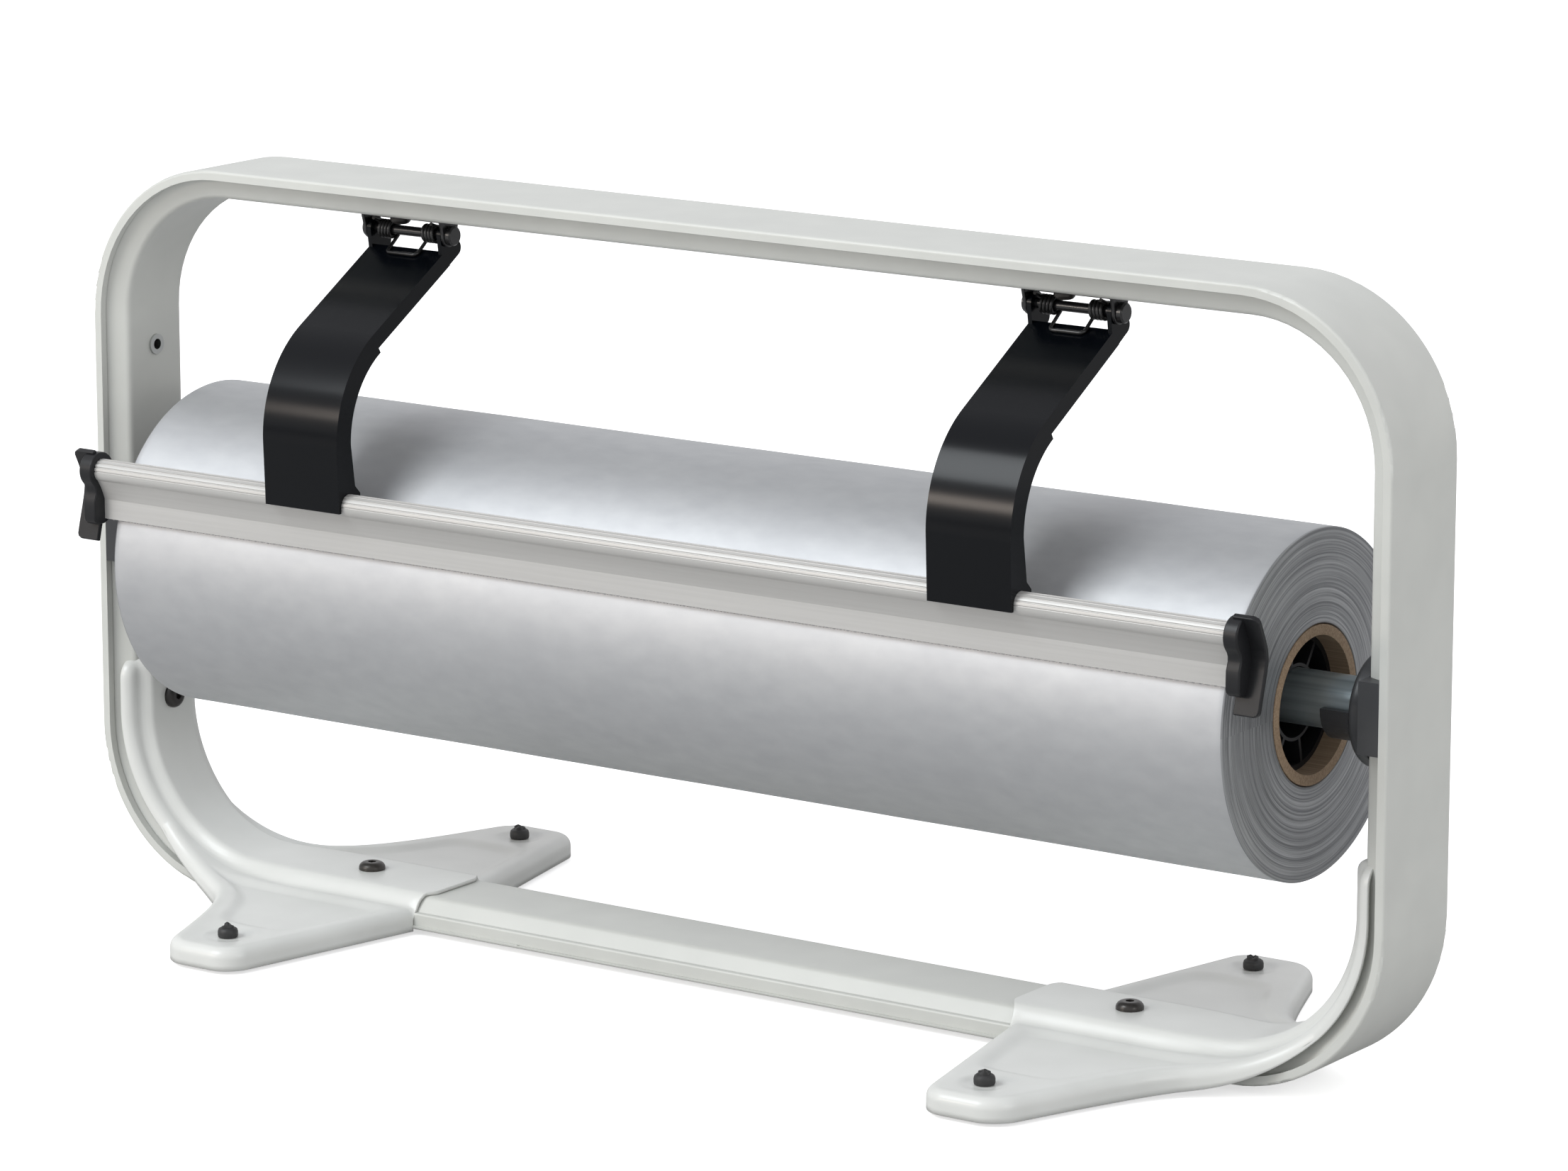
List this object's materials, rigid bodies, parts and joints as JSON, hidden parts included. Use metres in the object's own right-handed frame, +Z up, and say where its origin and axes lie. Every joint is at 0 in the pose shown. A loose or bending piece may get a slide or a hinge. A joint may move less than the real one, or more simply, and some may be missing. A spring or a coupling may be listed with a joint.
{
  "type": "gift wrap paper cutter",
  "caption": "Counter-top frame that holds a roll of gift wrap on a removable axle, with a sprung, hinged cutter bar resting on the roll.",
  "frame": {"origin": "on the counter, under the middle of the frame (centre of the bounding box's bottom)", "axes": "+X along the roll to the right as the user faces it, -Y towards the user, +Z up"},
  "size_m": [0.5846, 0.221, 0.2905],
  "materials": {
    "frame_coat": "warm light grey powder coat, satin",
    "foot_coat": "light grey powder coat, slightly glossier",
    "foot_rubber": "black, matt",
    "black_steel": "black oxide, slightly oily",
    "zinc_steel": "bright zinc plate",
    "black_plastic": "moulded, matt",
    "galvanised_tube": "galvanised, faint drawn streaks",
    "bright_steel": "zinc plated",
    "spring_wire": "drawn spring wire, blackened",
    "black_gloss": "black enamel, glossy",
    "bar_aluminium": "clear anodised, fine lengthwise die lines",
    "blade_steel": "bright strip steel with saw teeth",
    "core_card": "brown wound card",
    "wrap_film": "silver metallised gift wrap, wound tight, satin"
  },
  "bodies": {
    "stand": {"frame_outer_strip": "frame_coat", "frame_inner_channel": "frame_coat", "bottom_rail_channel": "frame_coat", "foot_plate_left": "foot_coat", "foot_plate_right": "foot_coat", "rubber_feet": "foot_rubber", "rail_bolts": "black_steel", "column_bolts": "black_steel", "weld_nuts": "zinc_steel", "rivet_nuts": "zinc_steel", "bearing_left": "black_plastic", "bearing_right": "black_plastic", "axle_tube": "galvanised_tube", "hinge_bracket_left": "black_steel", "hinge_bracket_right": "black_steel", "bracket_screws": "black_steel", "hinge_pin_left": "black_steel", "hinge_pin_right": "black_steel", "pin_clips": "black_steel", "torsion_spring_left": "spring_wire", "torsion_spring_right": "spring_wire"},
    "cutter": {"arm_left": "black_gloss", "arm_right": "black_gloss", "cutter_bar": "bar_aluminium", "serrated_blade": "blade_steel", "end_cap_left": "black_plastic", "end_cap_right": "black_plastic", "bar_clips": "bright_steel", "clip_screws": "black_steel"},
    "roll": {"core_adapter_left": "black_plastic", "core_adapter_right": "black_plastic", "cardboard_core": "core_card", "wrap_roll": "wrap_film"}
  },
  "joints": [
    {"name": "cutter_hinge", "type": "hinge", "parent": "stand", "child": "cutter", "pos_m": [0, -0.0025, 0.2717], "axis": [-1, 0, 0], "range_deg": [0, 60], "stiffness_Nm_per_rad": 0.08, "springref_deg": -34.38, "deforming": ["torsion_spring_left", "torsion_spring_right"]},
    {"name": "roll_spin", "type": "hinge", "parent": "stand", "child": "roll", "pos_m": [0, 0, 0.1392], "axis": [1, 0, 0], "continuous": true}
  ]
}
